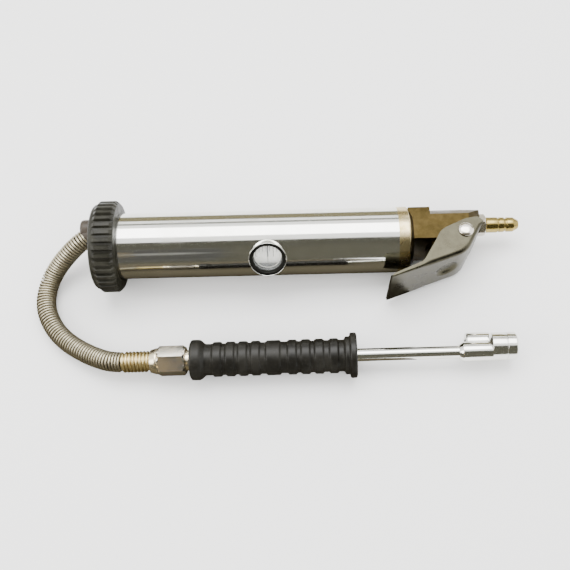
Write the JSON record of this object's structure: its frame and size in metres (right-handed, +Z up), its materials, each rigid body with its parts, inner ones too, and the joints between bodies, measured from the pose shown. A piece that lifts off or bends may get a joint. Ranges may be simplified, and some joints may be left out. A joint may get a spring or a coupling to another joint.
{
  "type": "portable tire inflator",
  "caption": "Portable tire inflator: chrome barrel with a window gauge, ribbed rubber bumper, squeeze lever valve, spring-guarded hose and hand wand with a two-way chuck.",
  "frame": {"origin": "centre of the tool and wand's footprint on the bench, without the hose", "axes": "+X along the wand towards the inlet plug end, -Y the lever side, +Z up from the bench"},
  "size_m": [0.3608, 0.1335, 0.0674],
  "materials": {
    "barrel_chrome": "polished",
    "bumper_rubber": "matte",
    "black_rubber": "matte",
    "elbow_plastic": "satin",
    "cast_metal": "fine cast",
    "cap_metal": "satin",
    "lens": "clear",
    "hairline_ink": "matte",
    "drum_white": "printed scale",
    "spring_steel": "drawn wire",
    "turned_brass": "turned",
    "plunger_steel": "ground",
    "lever_nickel": "dull nickel",
    "plug_brass": "bright",
    "guard_wire": "nickelled wire",
    "coil_brass": "wire",
    "nut_nickel": "nickelled brass"
  },
  "bodies": {
    "base": {"barrel_tube": "barrel_chrome", "bumper_ring": "bumper_rubber", "end_cap": "cap_metal", "end_cap_seal": "black_rubber", "outlet_elbow": "elbow_plastic", "window_rim": "barrel_chrome", "window_gasket": "black_rubber", "window_lens": "lens", "window_hairline": "hairline_ink", "gauge_cylinder": "cap_metal", "spring_adjuster": "cap_metal", "gauge_spring": "spring_steel", "air_tube": "cap_metal", "valve_head": "cast_metal", "head_seal": "black_rubber", "plunger_bushing": "turned_brass", "plunger_seal": "black_rubber", "valve_spring": "spring_steel", "valve_cap": "turned_brass", "lever_pin": "barrel_chrome", "inlet_plug": "plug_brass", "inlet_screen": "spring_steel", "hose": "black_rubber", "hose_guard": "guard_wire", "brass_coil": "coil_brass", "hose_collar": "plug_brass", "hose_nut": "nut_nickel", "wand_adapter": "turned_brass", "grip": "black_rubber", "wand_tube": "barrel_chrome", "chuck_body": "barrel_chrome", "forward_seat": "barrel_chrome", "forward_seal": "black_rubber", "forward_spring": "spring_steel", "reverse_seat": "barrel_chrome", "reverse_seal": "black_rubber", "reverse_spring": "spring_steel"},
    "lever": {"lever": "lever_nickel"},
    "plunger": {"plunger": "plunger_steel", "poppet": "turned_brass", "poppet_seal": "black_rubber"},
    "gauge": {"gauge_piston": "turned_brass", "piston_cup": "black_rubber", "gauge_rod": "turned_brass", "indicator_drum": "drum_white", "drum_nut": "turned_brass"},
    "forward_pin": {"forward_pin": "turned_brass"},
    "reverse_pin": {"reverse_pin": "turned_brass"}
  },
  "joints": [
    {"name": "lever_pivot", "type": "hinge", "parent": "base", "child": "lever", "pos_m": [0.11826, 0.03009, 0.02217], "axis": [-0.0449, -0.0004, -0.999], "range_deg": [0, 10], "stiffness_Nm_per_rad": 0.5, "springref_deg": -8.59},
    {"name": "plunger_slide", "type": "slide", "parent": "base", "child": "plunger", "axis": [-0.0087, 1, 0], "range_m": [0, 0.00218], "deforming": ["valve_spring"]},
    {"name": "gauge_slide", "type": "slide", "parent": "base", "child": "gauge", "axis": [-0.999, -0.0087, 0.0449], "range_m": [0, 0.025], "stiffness_N_per_m": 8000, "springref_m": -0.001, "deforming": ["gauge_spring"]},
    {"name": "forward_pin_slide", "type": "slide", "parent": "base", "child": "forward_pin", "axis": [-1, 0, 0], "range_m": [0, 0.0025], "stiffness_N_per_m": 500, "springref_m": -0.001, "deforming": ["forward_spring"]},
    {"name": "reverse_pin_slide", "type": "slide", "parent": "base", "child": "reverse_pin", "axis": [1, 0, 0], "range_m": [0, 0.0025], "stiffness_N_per_m": 500, "springref_m": -0.001, "deforming": ["reverse_spring"]}
  ],
  "couplings": [
    {"joint": "plunger_slide", "follows": "lever_pivot", "m_per_rad": 0.012475}
  ]
}
